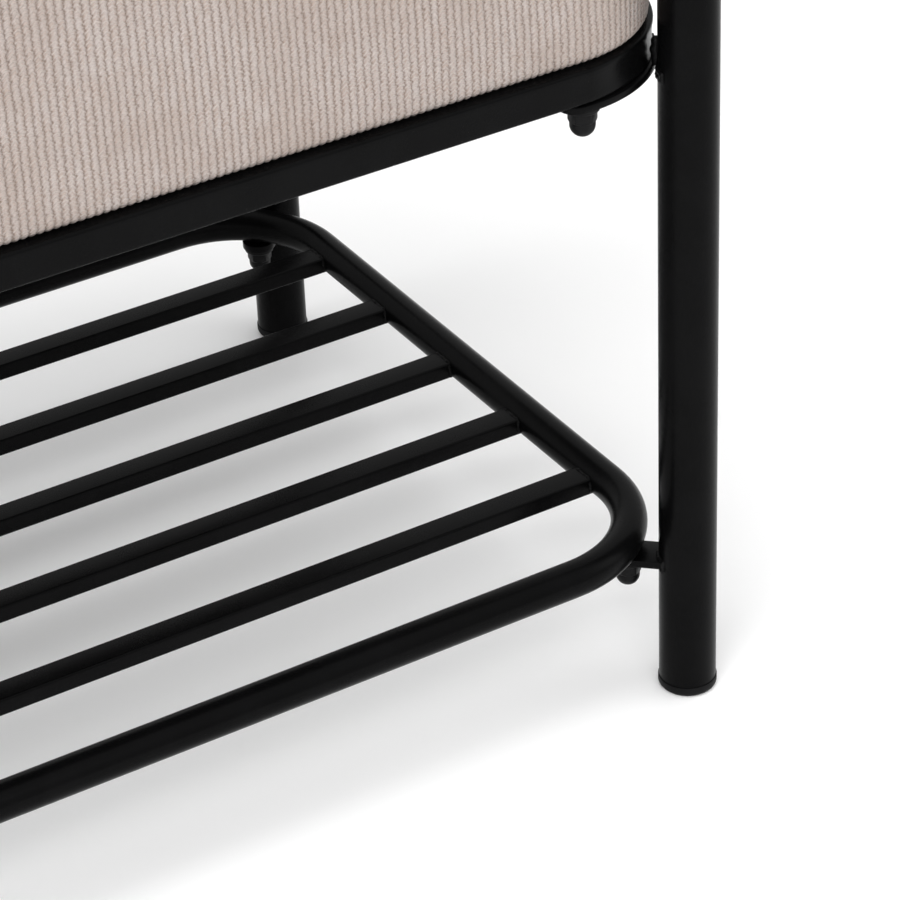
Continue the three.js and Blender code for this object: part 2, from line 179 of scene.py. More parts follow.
@contextlib.contextmanager
def editing(piece):
    take(piece)
    bpy.ops.object.mode_set(mode="EDIT")
    bpy.ops.mesh.select_all(action="SELECT")
    yield piece
    bpy.ops.object.mode_set(mode="OBJECT")


def add(kind, name, scale=(1, 1, 1), **settings):
    """A primitive whose size and place are put into its mesh."""
    rest()
    getattr(bpy.ops.mesh, f"primitive_{kind}_add")(**settings)
    piece = bpy.context.object
    piece.name = piece.data.name = name
    piece.scale = scale
    bpy.ops.object.transform_apply(location=True, rotation=True, scale=True)
    return piece


def pick(test, kind="VERT"):
    """Selects, in edit mode, the vertices, edges or faces that pass a test, and no others."""
    mesh = bpy.context.edit_object.data
    bpy.ops.mesh.select_mode(type=kind)
    bpy.ops.mesh.select_all(action="DESELECT")
    shape = bmesh.from_edit_mesh(mesh)
    for item in {"VERT": shape.verts, "EDGE": shape.edges, "FACE": shape.faces}[kind]:
        if test(item):
            item.select_set(True)
    shape.select_flush_mode()
    bmesh.update_edit_mesh(mesh)


def lies_at(axis, place, tolerance=1e-5):
    """A test for edges and faces that lie wholly at one coordinate."""
    return lambda item: all(abs(vertex.co[axis] - place) < tolerance for vertex in item.verts)


def runs_along(axis):
    """A test for edges that run along one axis."""

    def test(edge):
        along = edge.verts[1].co - edge.verts[0].co
        return abs(along[axis]) > 0.99 * along.length

    return test


def run(*step):
    """Extrudes what is selected by a step."""
    bpy.ops.mesh.extrude_region_move(TRANSFORM_OT_translate={"value": step})


def turn(centre, axis, angle, steps):
    """Spins what is selected round an axis; the operator's own angle runs the other way."""
    bpy.ops.mesh.spin(steps=steps, angle=-angle, center=centre, axis=axis)


def modify(piece, kind, **settings):
    """Adds a modifier and applies it."""
    take(piece)
    modifier = piece.modifiers.new(kind.title(), kind)
    for name, value in settings.items():
        setattr(modifier, name, value)
    bpy.ops.object.modifier_apply(modifier=modifier.name)


def face_out(piece):
    with editing(piece):
        bpy.ops.mesh.remove_doubles(threshold=1e-5)
        bpy.ops.mesh.normals_make_consistent(inside=False)


def smooth(piece, degrees=35):
    take(piece)
    bpy.ops.object.shade_smooth_by_angle(angle=math.radians(degrees))


def cut_with(piece, tool, operation):
    """Joins, cuts or intersects a piece with a tool, which is used up."""
    modify(piece, "BOOLEAN", object=tool, operation=operation, solver="EXACT")
    bpy.data.objects.remove(tool)


def copy_of(piece, name, matrix):
    """A copy with its own mesh, moved by a matrix that may mirror it."""
    copied = piece.copy()
    copied.data = piece.data.copy()
    copied.name = copied.data.name = name
    bpy.context.collection.objects.link(copied)
    copied.data.transform(matrix)
    if matrix.determinant() < 0:
        copied.data.flip_normals()
    return copied


def own(piece, finish, slot, *nodes):
    """Gives a finished piece its material and its body, and hides the nodes that it stands for; the slot is not
    used.
    """
    piece.data.materials.clear()
    piece.data.materials.append(material(finish))
    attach(piece, "root")
    if nodes:
        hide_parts(*nodes)


def to_corners(piece, name, finish, slot, node=None):
    """Copies a piece of the front right corner to each corner; the piece itself is used up."""
    for corner, (x, y) in CORNERS.items():
        copied = copy_of(piece, f"{name}_{corner}", Matrix.Diagonal((x, -y, 1, 1)))
        own(copied, finish, slot, *([f"{node}_{corner}"] if node else []))
    bpy.data.objects.remove(piece)


def placed(name, data):
    """A new object of this data, put in the scene."""
    made = bpy.data.objects.new(name, data)
    bpy.context.collection.objects.link(made)
    return made


def nodes_like(start):
    """Names of the frame's nodes that begin alike, in order."""
    return sorted(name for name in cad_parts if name.startswith(start))


def rounded_bar(node, name, axis, rounding, segments):
    """A coated bar that fills its node's box, with its long edges rounded."""
    low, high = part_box(node)
    bar = add("cube", name, size=1, location=(low + high) / 2, scale=high - low)
    with editing(bar):
        pick(runs_along(axis), "EDGE")
        bpy.ops.mesh.bevel(offset=rounding, segments=segments)
    face_out(bar)
    smooth(bar)
    own(bar, "powder_coat", "powder_coat", node)


def leg_centre():
    """The middle of the front right leg."""
    low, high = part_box("foot_cap_front_right")
    return Vector(((low.x + high.x) / 2, (low.y + high.y) / 2, 0))


def leg_radius():
    low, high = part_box("end_frame_right")
    return (high.x - low.x) / 2


# ---------------------------------------------------------------- materials
class Value:
    """A shader socket that takes part in arithmetic."""

    def __init__(self, graph, socket):
        self.graph, self.socket = graph, socket

    def __add__(self, other):
        return self.graph.math("ADD", self, other)

    def __sub__(self, other):
        return self.graph.math("SUBTRACT", self, other)

    def __rsub__(self, other):
        return self.graph.math("SUBTRACT", other, self)

    def __mul__(self, other):
        return self.graph.math("MULTIPLY", self, other)


class Graph:
    """The node tree of one material or world."""

    def __init__(self, made):
        made.use_nodes = True
        self.made, self.tree = made, made.node_tree
        self.tree.nodes.clear()

    def node(self, kind, settings=None, **sockets):
        """A node of one type: its settings first, then a value or a link for each socket."""
        made = self.tree.nodes.new(kind)
        for name, value in (settings or {}).items():
            if name == "stops":
                self.set_stops(made.color_ramp, value)
            else:
                setattr(made, name, value)
        for name, value in sockets.items():
            key = int(name[1:]) if name[1:].isdigit() else name.replace("_", " ")
            socket = made.inputs[key]
            if isinstance(value, Value):
                self.tree.links.new(value.socket, socket)
            else:
                socket.default_value = value
        return made

    def out(self, made, name=0):
        return Value(self, made.outputs[name])

    @staticmethod
    def set_stops(ramp, stops):
        while len(ramp.elements) < len(stops):
            ramp.elements.new(0.5)
        for element, (place, shade) in zip(ramp.elements, stops):
            element.position = place
            element.color = (*shade, 1) if isinstance(shade, tuple) else (shade, shade, shade, 1)

    def math(self, operation, *values):
        sockets = {f"_{i}": value for i, value in enumerate(values)}
        return self.out(self.node("ShaderNodeMath", {"operation": operation}, **sockets))

    def smooth(self, value, low, high):
        """0 below low, 1 above high and an even slope between, eased at both ends."""
        settings = {"interpolation_type": "SMOOTHSTEP"}
        return self.out(self.node("ShaderNodeMapRange", settings, Value=value, From_Min=low, From_Max=high))

    def range(self, value, low, high):
        """Spreads a value from 0 to 1 over another range."""
        return self.out(self.node("ShaderNodeMapRange", Value=value, To_Min=low, To_Max=high))

    def blend(self, share, first, second):
        """A mix of two colours."""
        first, second = (shade if isinstance(shade, Value) else (*shade, 1) for shade in (first, second))
        return self.out(self.node("ShaderNodeMix", {"data_type": "RGBA"}, _0=share, _6=first, _7=second), 2)

    def tinted(self, pattern, low, high, shade, factor):
        """A colour that goes over to a multiple of itself where a pattern is high."""
        return self.blend(self.smooth(pattern, low, high), shade, [factor * c for c in shade])

    def noise(self, place, scale, detail=2.0, roughness=0.5):
        made = self.node("ShaderNodeTexNoise", Vector=place, Scale=scale, Detail=detail, Roughness=roughness)
        return self.out(made)

    def object_place(self):
        return self.out(self.node("ShaderNodeTexCoord"), "Object")

    def stretched(self, place, *scale):
        """Coordinates scaled by a vector."""
        return self.out(self.node("ShaderNodeMapping", Vector=place, Scale=scale))

    def bump(self, height, distance):
        return self.out(self.node("ShaderNodeBump", Height=height, Distance=distance, Strength=1))

    def finish(self, shade, rough, relief=None, **fixed):
        """The principled surface, and the material that it finishes."""
        if relief:
            fixed["Normal"] = relief
        shader = self.node("ShaderNodeBsdfPrincipled", Base_Color=shade, Roughness=rough, **fixed)
        self.node("ShaderNodeOutputMaterial", Surface=self.out(shader))
        return self.made


def surface(name):
    """The empty node tree of a new material."""
    return Graph(bpy.data.materials.new(f"{name}_finish"))


def powder_coat(finish):
    """Satin black powder coat with its fine orange peel."""
    graph = surface("powder_coat")
    place = graph.object_place()
    peel = graph.noise(place, 900, 1.5)
    cloudy = graph.noise(place, 35, 3)
    grain = graph.noise(place, 4200, 1)
    shade = graph.tinted(cloudy, 0.35, 0.7, finish.coat, 1.5)
    rough = graph.range(cloudy * 0.7 + grain * 0.3, 0.2, 0.34)
    return graph.finish(shade, rough, graph.bump(peel + grain * 0.25, 0.04 * MM), Specular_IOR_Level=0.05)


def weld_coat(finish):
    """Powder coat over a weld: rougher and with a little spatter."""
    graph = surface("weld_coat")
    place = graph.object_place()
    lumps = graph.noise(place, 1400, 3)
    shade = graph.tinted(lumps, 0.4, 0.75, finish.coat, 2.2)
    rough = graph.range(lumps, 0.34, 0.6)
    return graph.finish(shade, rough, graph.bump(lumps, 0.2 * MM), Specular_IOR_Level=0.12)


def moulded_plastic(finish):
    """Black plastic with a fine spark-eroded grain."""
    graph = surface("moulded_plastic")
    place = graph.object_place()
    grain = graph.noise(place, 2600, 2)
    cloudy = graph.noise(place, 120, 2)
    shade = graph.tinted(cloudy, 0.35, 0.7, finish.plastic, 1.6)
    rough = graph.range(grain, 0.38, 0.62)
    return graph.finish(shade, rough, graph.bump(grain, 0.04 * MM), Specular_IOR_Level=0.1)


def black_plating(finish):
    """Black plated steel, faintly streaked."""
    graph = surface("black_plating")
    place = graph.object_place()
    streaks = graph.noise(graph.stretched(place, 1, 1, 6), 500, 3)
    shade = graph.tinted(streaks, 0.4, 0.7, finish.zinc, 1.8)
    rough = graph.range(streaks, 0.26, 0.44)
    return graph.finish(shade, rough, graph.bump(streaks, 0.03 * MM), Specular_IOR_Level=0.1)


def ribbed_weave(finish):
    """Chenille in braided ribs: U counts the ribs and V the stitches along them."""
    graph = surface("ribbed_weave")
    uv = graph.out(graph.node("ShaderNodeTexCoord"), "UV")
    split = graph.node("ShaderNodeSeparateXYZ", Vector=uv)
    ribs, stitches = graph.out(split, 0), graph.out(split, 1)
    wander = graph.noise(graph.stretched(uv, 0.8, 0.3, 1), 1, 2)
    strand = graph.noise(graph.stretched(uv, 1, 0.12, 1), 1.7, 2)
    fuzz = graph.noise(graph.stretched(uv, 1, 0.55, 1), 5, 3, 0.65)
    fibre = graph.noise(graph.stretched(uv, 1, 0.55, 1), 13, 2, 0.6)
    cloud = graph.noise(graph.stretched(uv, 1, 0.55, 1), 0.09, 3, 0.6)

    zigzag = graph.math("PINGPONG", stitches + wander, 1.0) - 0.5
    across = ribs + zigzag * 0.14 + (wander - 0.5) * 0.5
    rib = graph.math("FLOOR", across)
    from_middle = graph.math("ABSOLUTE", across - rib - 0.5)
    off_beat = stitches + graph.math("MODULO", rib, 2.0) * 0.5 + wander * 1.5
    beat = graph.math("SINE", off_beat * (2 * math.pi)) * 0.5 + 0.5
    chevron = graph.math("SINE", (off_beat + from_middle * 1.4) * (2 * math.pi)) * 0.5 + 0.5

    edge = graph.smooth(from_middle + (fuzz - 0.5) * 0.42, 0.2, 0.5)
    speck = edge * graph.smooth(beat + (fibre - 0.5) * 1.8, 0.5, 1.0)
    loops = graph.smooth(fibre * 0.6 + chevron * 0.4, 0.42, 0.72)
    yarn = graph.blend(graph.smooth(strand * 0.55 + fuzz * 0.45, 0.4, 0.6), finish.yarn, finish.yarn_warm)
    pale = graph.blend(loops * 0.8, yarn, [min(1, 1.25 * c) for c in finish.yarn])
    tone = graph.blend(graph.smooth(cloud, 0.4, 0.65) * 0.45, pale, finish.yarn_warm)
    shade = graph.blend(edge * 0.32 + speck * 0.42, tone, finish.gap)

    round_rib = 1 - from_middle * from_middle * 4
    height = round_rib * 0.2 + loops * 0.4 + fuzz * 0.4 - speck * 0.3
    rough = graph.range(fuzz, 0.82, 0.98)
    sheen = {"Sheen_Weight": 0.08, "Sheen_Roughness": 0.5}
    return graph.finish(shade, rough, graph.bump(height, 0.8 * MM), Specular_IOR_Level=0.2, **sheen)


def open_foam(finish):
    graph = surface("open_foam")
    place = graph.object_place()
    cells = graph.out(graph.node("ShaderNodeTexVoronoi", Vector=place, Scale=700), 0)
    shade = graph.blend(graph.smooth(cells, 0.1, 0.7), [0.6 * c for c in finish.foam], finish.foam)
    rough = graph.range(cells, 0.85, 1)
    return graph.finish(shade, rough, graph.bump(cells, 0.8 * MM))


def plywood(finish):
    graph = surface("plywood")
    place = graph.stretched(graph.object_place(), 1, 14, 14)
    grain = graph.noise(place, 22, 6, 0.6)
    shade = graph.tinted(grain, 0.35, 0.68, finish.ply, 0.55)
    rough = graph.range(grain, 0.55, 0.75)
    return graph.finish(shade, rough, graph.bump(grain, 0.3 * MM))


def nonwoven(finish):
    """Thin spun-bonded cloth with its embossed dots."""
    graph = surface("nonwoven")
    place = graph.object_place()
    dots = graph.out(graph.node("ShaderNodeTexVoronoi", {"voronoi_dimensions": "2D"}, Vector=place, Scale=600), 0)
    fibre = graph.noise(place, 1800, 3)
    shade = graph.tinted(fibre, 0.3, 0.7, finish.cloth, 2)
    rough = graph.range(fibre, 0.8, 1)
    return graph.finish(shade, rough, graph.bump(dots + fibre, 0.2 * MM))


FINISHES = {
    finish.__name__: finish
    for finish in (
        powder_coat, weld_coat, moulded_plastic, black_plating, ribbed_weave, open_foam, plywood, nonwoven,
    )
}
MADE = {}


def material(name):
    """The material of that name, made when it is first asked for."""
    if name not in MADE:
        MADE[name] = FINISHES[name](bpy.context.scene.bench_finish)
    return MADE[name]


# ---------------------------------------------------------------- end hoops and feet
class BENCH_OT_end_hoops(bpy.types.Operator):
    """Bend the two end hoops from round tube"""

    bl_idname = "bench.end_hoops"
    bl_label = "End hoops"

    def execute(self, context):
        for side in SIDES:
            self.hoop(context.scene.bench_frame, side)
        return {"FINISHED"}

    @staticmethod
    def hoop(size, side):
        low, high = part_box(f"end_frame_{side}")
        radius = (high.x - low.x) / 2
        x, front, back, top = low.x + radius, low.y + radius, high.y - radius, high.z - radius
        bend = size.hoop_bend
        upright = top - bend - low.z
        piece = add("circle", f"hoop_{side}", vertices=size.tube_sides, radius=radius, location=(x, front, low.z))
        with editing(piece):
            run(0, 0, upright)
            turn((x, front + bend, top - bend), (1, 0, 0), -RIGHT_ANGLE, size.bend_steps)
            run(0, back - front - 2 * bend, 0)
            turn((x, back - bend, top - bend), (1, 0, 0), -RIGHT_ANGLE, size.bend_steps)
            run(0, 0, -upright)
        face_out(piece)
        modify(piece, "SOLIDIFY", thickness=size.hoop_wall, offset=-1)
        smooth(piece)
        own(piece, "powder_coat", "powder_coat", f"end_frame_{side}")


class BENCH_OT_foot_caps(bpy.types.Operator):
    """Model the moulded caps that close the hoops' lower ends"""

    bl_idname = "bench.foot_caps"
    bl_label = "Foot caps"

    rounding = 2.5 * MM
    arris = 0.25 * MM
    rim = 2.4 * MM
    recess = 0.5 * MM
    joint = 0.3 * MM

    def execute(self, context):
        low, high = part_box("foot_cap_front_right")
        radius, middle = (high.x - low.x) / 2, leg_centre()
        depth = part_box("end_frame_right")[0].z - self.joint
        place = (middle.x, middle.y, depth / 2)
        cap = add("cylinder", "cap", vertices=64, radius=radius, depth=depth, location=place)
        with editing(cap):
            pick(lies_at(2, 0), "FACE")
            bpy.ops.mesh.inset(thickness=self.rounding + self.rim)
            run(0, 0, self.recess)
            pick(self.outer_edge(radius, middle), "EDGE")
            bpy.ops.mesh.bevel(offset=self.rounding, segments=8)
            pick(lies_at(2, depth), "EDGE")
            bpy.ops.mesh.bevel(offset=self.arris, segments=2)
        face_out(cap)
        smooth(cap)
        to_corners(cap, "foot", "moulded_plastic", "black_plastic", "foot_cap")
        return {"FINISHED"}

    @staticmethod
    def outer_edge(radius, middle):
        """A test for the edges round the cap's sole."""

        def test(edge):
            return lies_at(2, 0)(edge) and all(
                (vertex.co - middle).to_2d().length > radius - 1e-5 for vertex in edge.verts
            )

        return test


# ---------------------------------------------------------------- shoe rack
class BENCH_OT_rack_tube(bpy.types.Operator):
    """Bend the round tube that runs round the shoe rack"""

    bl_idname = "bench.rack_tube"
    bl_label = "Rack tube"

    def execute(self, context):
        size = context.scene.bench_frame
        low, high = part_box("rack_frame")
        radius = (high.z - low.z) / 2
        x, y, z = high.x - radius, high.y - radius, low.z + radius
        upright = {"location": (0, -y, z), "rotation": (0, RIGHT_ANGLE, 0)}
        piece = add("circle", "rack_tube", vertices=size.tube_sides, radius=radius, **upright)
        loop_of_tube(x, y, z, size.rack_bend, size.bend_steps, piece)
        face_out(piece)
        smooth(piece)
        own(piece, "powder_coat", "powder_coat", "rack_frame")
        return {"FINISHED"}


def loop_of_tube(x, y, z, bend, steps, piece):
    """Takes a section that stands at the middle of the front run right round a level loop."""
    x, y = x - bend, y - bend
    bends = ((x, -y, (0, 2 * y, 0)), (x, y, (-2 * x, 0, 0)), (-x, y, (0, -2 * y, 0)), (-x, -y, (x, 0, 0)))
    with editing(piece):
        run(x, 0, 0)
        for across, along, straight in bends:
            turn((across, along, z), (0, 0, 1), RIGHT_ANGLE, steps)
            run(*straight)


class BENCH_OT_rack_slats(bpy.types.Operator):
    """Model the flat slats of the shoe rack"""

    bl_idname = "bench.rack_slats"
    bl_label = "Rack slats"

    def execute(self, context):
        for node in nodes_like("rack_slat_"):
            rounded_bar(node, node.replace("rack_", ""), 0, context.scene.bench_frame.slat_round, 5)
        return {"FINISHED"}


class BENCH_OT_rack_tabs(bpy.types.Operator):
    """Model the tabs that hold the rack's corners to the legs"""

    bl_idname = "bench.rack_tabs"
    bl_label = "Rack tabs"

    width = 16 * MM
    arris = 0.35 * MM

    def execute(self, context):
        low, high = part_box("rack_tab_front_right")
        stud = sum(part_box("rack_stud_front_right"), Vector()) / 2
        leg = leg_centre()
        inward = Vector((stud.x - leg.x, stud.y - leg.y, 0))
        reach = inward.length + self.width / 2
        tab = add("plane", "tab", size=1, scale=(reach, self.width, 1), location=(reach / 2, 0, 0))
        with editing(tab):
            pick(lambda vertex: vertex.co.x > 1e-6)
            bpy.ops.mesh.bevel(offset=self.width / 2 * 0.999, segments=10, affect="VERTICES")
            bpy.ops.mesh.select_all(action="SELECT")
            run(0, 0, high.z - low.z)
        tab.data.transform(Matrix.Rotation(math.atan2(inward.y, inward.x), 4, "Z"))
        tab.data.transform(Matrix.Translation((leg.x, leg.y, low.z)))
        face_out(tab)
        modify(tab, "BEVEL", width=self.arris, segments=2, limit_method="ANGLE")
        smooth(tab)
        to_corners(tab, "tab", "powder_coat", "powder_coat", "rack_tab")
        return {"FINISHED"}


# ---------------------------------------------------------------- seat frame
class BENCH_OT_seat_rail(bpy.types.Operator):
    """Bend the square tube under the cushion, its outer wall drawn in at the corners"""

    bl_idname = "bench.seat_rail"
    bl_label = "Seat rail"

    wall_cuts = 5
    early = 1.6
    flattening = 0.45

    def execute(self, context):
        size = context.scene.bench_frame
        low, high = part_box("seat_frame")
        depth = high.z - low.z
        x, y, z = high.x - depth / 2, high.y - depth / 2, low.z + depth / 2
        piece = add("plane", "seat_rail", size=depth, location=(0, -y, z), rotation=(0, RIGHT_ANGLE, 0))
        with editing(piece):
            bpy.ops.mesh.bevel(offset=size.rail_round, segments=4, affect="VERTICES")
            bpy.ops.mesh.delete(type="ONLY_FACE")
            pick(lambda edge: edge.calc_length() > depth / 2, "EDGE")
            bpy.ops.mesh.subdivide(number_cuts=self.wall_cuts)
        loop_of_tube(x, y, z, size.rail_bend - depth / 2, size.bend_steps, piece)
        face_out(piece)
        self.draw_in(piece, size, high, z, depth)
        smooth(piece)
        own(piece, "powder_coat", "powder_coat", "seat_frame")
        return {"FINISHED"}

    def draw_in(self, piece, size, high, z, depth):
        """Moves the outer wall towards the bend's centre, most at mid-height and halfway round the bend."""
        centre = Vector((high.x - size.rail_bend, high.y - size.rail_bend))
        for vertex in piece.data.vertices:
            out = Vector((abs(vertex.co.x), abs(vertex.co.y))) - centre
            if min(out) <= 0:
                continue
            outward = (out.length - size.rail_bend + depth) / depth
            turned = min(1, math.sin(2 * math.atan2(out.y, out.x)) * self.early)
            hollow = 1 - self.flattening * (2 * (vertex.co.z - z) / depth) ** 2
            sunk = out.normalized() * (size.rail_sink * turned * hollow * max(0, outward) ** 3)
            vertex.co.x -= math.copysign(sunk.x, vertex.co.x)
            vertex.co.y -= math.copysign(sunk.y, vertex.co.y)


class BENCH_OT_cross_bars(bpy.types.Operator):
    """Model the square bars that carry the board"""

    bl_idname = "bench.cross_bars"
    bl_label = "Cross bars"

    def execute(self, context):
        for node in nodes_like("seat_cross_bar_"):
            rounded_bar(node, node.replace("seat_", ""), 1, context.scene.bench_frame.rail_round, 4)
        return {"FINISHED"}


class BENCH_OT_seat_plates(bpy.types.Operator):
    """Model the plates between the legs and the seat rail's corners"""

    bl_idname = "bench.seat_plates"
    bl_label = "Seat plates"

    width = 15 * MM
    proud = 0.4 * MM
    arris = 0.35 * MM

    def execute(self, context):
        size = context.scene.bench_frame
        low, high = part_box("seat_plate_front_right")
        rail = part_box("seat_frame")[1]
        centre = Vector((rail.x - size.rail_bend, size.rail_bend - rail.y, low.z))
        outer = size.rail_bend + self.proud
        arm_end = low.x
        middle = (centre.x + arm_end) / 2
        across = centre.y - outer + self.width / 2
        reach = (centre.x - arm_end, self.width, 1)
        plate = add("plane", "plate", size=1, scale=reach, location=(middle, across, low.z))
        with editing(plate):
            pick(lies_at(0, centre.x), "EDGE")
            turn(centre, (0, 0, 1), size.plate_sweep, size.bend_steps)
            pick(lambda vertex: vertex.co.x < arm_end + 1e-6)
            bpy.ops.mesh.bevel(offset=self.width / 2 * 0.999, segments=10, affect="VERTICES")
            bpy.ops.mesh.select_all(action="SELECT")
            run(0, 0, high.z - low.z)
        face_out(plate)
        sharp = {"limit_method": "ANGLE", "angle_limit": math.radians(50)}
        modify(plate, "BEVEL", width=self.arris, segments=2, **sharp)
        smooth(plate)
        to_corners(plate, "plate", "powder_coat", "powder_coat", "seat_plate")
        return {"FINISHED"}


# ---------------------------------------------------------------- fasteners
class BENCH_OT_cap_nuts(bpy.types.Operator):
    """Model the flanged cap nuts under the rack and the seat"""

    bl_idname = "bench.cap_nuts"
    bl_label = "Cap nuts"

    def execute(self, context):
        size = context.scene.bench_nut
        for group in ("rack", "seat"):
            low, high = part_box(f"{group}_cap_nut_front_right")
            nut = self.nut(size, (low + high) / 2, low.z, high.z)
            to_corners(nut, f"{group}_nut", "black_plating", "black_zinc", f"{group}_cap_nut")
        return {"FINISHED"}

    @staticmethod
    def nut(size, middle, low, high):
        """A flange, a chamfered hexagon under it and a domed end, joined into one piece."""
        flange = round_bar("flange", middle, size.flange / 2, high - size.flange_depth, high, 0.5 * MM, 3)
        hex_high = high - size.flange_depth / 2
        hex_low = high - size.flange_depth - size.hexagon_depth
        across = size.hexagon / math.sqrt(3)
        hexagon = add(
            "cylinder", "hexagon", vertices=6, radius=across, depth=hex_high - hex_low,
            location=(middle.x, middle.y, (hex_high + hex_low) / 2),
        )
        cut_with(hexagon, round_bar("chamfer", middle, across * 0.97, hex_low, high + MM, 1.2 * MM, 3), "INTERSECT")
        dome = round_bar("dome", middle, size.dome / 2, low, hex_high, size.dome / 2 * 0.98, 10)
        cut_with(flange, hexagon, "UNION")
        cut_with(flange, dome, "UNION")
        smooth(flange)
        return flange


def round_bar(name, middle, radius, low, high, rounding, segments, sides=40):
    """An upright bar whose lower edge is rounded."""
    place = (middle[0], middle[1], (low + high) / 2)
    bar = add("cylinder", name, vertices=sides, radius=radius, depth=high - low, location=place)
    with editing(bar):
        pick(lies_at(2, low), "EDGE")
        bpy.ops.mesh.bevel(offset=rounding, segments=segments)
    return bar


class BENCH_OT_screws(bpy.types.Operator):
    """Model the screws that hold the board to the cross bars"""

    bl_idname = "bench.screws"
    bl_label = "Board screws"

    head_depth = 2.6 * MM
    slot_width = 1.1 * MM
    slot_length = 4.6 * MM
    slot_depth = 1.3 * MM
    shank = 2 * MM

    def execute(self, context):
        for node in nodes_like("cushion_screw_"):
            low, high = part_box(node)
            middle = (low + high) / 2
            head = round_bar(node, middle, (high.x - low.x) / 2, low.z, low.z + self.head_depth, 1.3 * MM, 5)
            for reach in ((self.slot_length, self.slot_width), (self.slot_width, self.slot_length)):
                place = (middle.x, middle.y, low.z)
                size = (*reach, 2 * self.slot_depth)
                cut_with(head, add("cube", "slot", size=1, scale=size, location=place), "DIFFERENCE")
            shank = round_bar("shank", middle, self.shank, low.z + self.head_depth / 2, high.z, MM, 2, 20)
            cut_with(head, shank, "UNION")
            head.name = node.replace("cushion_", "")
            smooth(head)
            own(head, "black_plating", "black_zinc", node)
        return {"FINISHED"}


# ---------------------------------------------------------------- welds
class BENCH_OT_welds(bpy.types.Operator):
    """Lay the weld beads at the slats, tabs, plates and cross bars"""

    bl_idname = "bench.welds"
    bl_label = "Welds"

    bead = 1.3 * MM
    step = 1.1 * MM
    slat_bead = 0.95 * MM
    bar_bead = 1.2 * MM
    lug_bead = 2.3 * MM
    lug_height = 10 * MM
    lug_gap = 0.8 * MM
    plate_half_width = 9 * MM
    inset = 1.5 * MM
    sunk = 0.2 * MM

    def execute(self, context):
        random.seed(7)
        self.slat_welds()
        self.tab_welds()
        self.plate_welds()
        self.bar_welds()
        return {"FINISHED"}

    def lay(self, name, lines, bead=None):
        """Rows of overlapping drops, melted into one bead."""
        seed = add("ico_sphere", name, subdivisions=2, radius=1)
        drops = []
        for place in (place for line in lines for place in spaced(line, self.step)):
            radius = (bead or self.bead) * random.uniform(0.8, 1.15)
            shift = Vector([random.uniform(-0.2, 0.2) * MM for _ in range(3)])
            drops.append(copy_of(seed, "drop", Matrix.Translation(place + shift) @ Matrix.Scale(radius, 4)))
        bpy.data.objects.remove(seed)
        take(*drops)
        bpy.ops.object.join()
        piece = bpy.context.object
        piece.name = piece.data.name = name
        modify(piece, "REMESH", mode="VOXEL", voxel_size=0.4 * MM)
        modify(piece, "SMOOTH", factor=0.5, iterations=6)
        bpy.ops.object.shade_smooth()
        return piece

    def slat_welds(self):
        rack_low, rack_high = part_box("rack_frame")
        radius = (rack_high.z - rack_low.z) / 2
        x, z = rack_high.x - radius, rack_low.z + radius
        inset = self.inset
        for node in nodes_like("rack_slat_"):
            low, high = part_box(node)
            for side, sign in SIDES.items():

                def at(y, height):
                    reach = math.sqrt(radius**2 - (height - z) ** 2)
                    return Vector((sign * (x - reach - self.sunk), y, height))

                top = [at(y, high.z - self.sunk) for y in (low.y + inset, high.y - inset)]
                ends = [[at(y, high.z - inset), at(y, low.z + inset)] for y in (low.y, high.y)]
                piece = self.lay(f"{node.replace('rack_', '')}_weld_{side}", [top, *ends], self.slat_bead)
                own(piece, "weld_coat", "powder_coat")

    def tab_welds(self):
        low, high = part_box("rack_tab_front_right")
        stud = sum(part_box("rack_stud_front_right"), Vector()) / 2
        self.leg_welds("tab", stud, low.z, high.z, BENCH_OT_rack_tabs.width / 2)

    def leg_welds(self, name, target, low, high, half_width):
        """Beads over and under a plate that runs from the leg towards a target."""
        leg, radius = leg_centre(), leg_radius()
        heading = math.atan2(target.y - leg.y, target.x - leg.x)
        spread = math.asin(half_width / radius)

        def at(share, z):
            angle = heading + spread * share
            return leg + Vector((radius * math.cos(angle), radius * math.sin(angle), z))

        lines = [[at(share, z) for share in (-1, -0.5, 0, 0.5, 1)] for z in (low, high)]
        lines += [[at(share, low), at(share, high)] for share in (-1, 1)]
        to_corners(self.lay(f"{name}_weld", lines), f"{name}_weld", "weld_coat", "powder_coat")

    def plate_welds(self):
        size = bpy.context.scene.bench_frame
        low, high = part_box("seat_plate_front_right")
        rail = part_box("seat_frame")[1]
        centre = Vector((rail.x - size.rail_bend, size.rail_bend - rail.y, 0))
        self.leg_welds("plate", centre, low.z, high.z, self.plate_half_width)
        leg = leg_centre()
        foot = leg + (centre - leg).normalized() * (leg_radius() + self.lug_gap)
        lug = [foot + Vector((0, 0, high.z + rise)) for rise in (MM, self.lug_height)]
        to_corners(self.lay("lug_weld", [lug], self.lug_bead), "lug_weld", "weld_coat", "powder_coat")

    def bar_welds(self):
        for node in nodes_like("seat_cross_bar_"):
            low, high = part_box(node)
            for side, y in (("front", low.y), ("rear", high.y)):
                heights = (high.z - 2 * self.inset, low.z + self.inset)
                walls = [[Vector((x, y, z)) for z in heights] for x in (low.x, high.x)]
                under = [Vector((x, y, low.z)) for x in (low.x + self.inset, high.x - self.inset)]
                piece = self.lay(f"{node.replace('seat_', '')}_weld_{side}", [*walls, under], self.bar_bead)
                own(piece, "weld_coat", "powder_coat")


def spaced(line, step):
    """Points along a line of corners, about a step apart."""
    places = [line[0]]
    for start, end in zip(line, line[1:]):
        count = max(1, round((end - start).length / step))
        places += [start.lerp(end, (i + 1) / count) for i in range(count)]
    return places


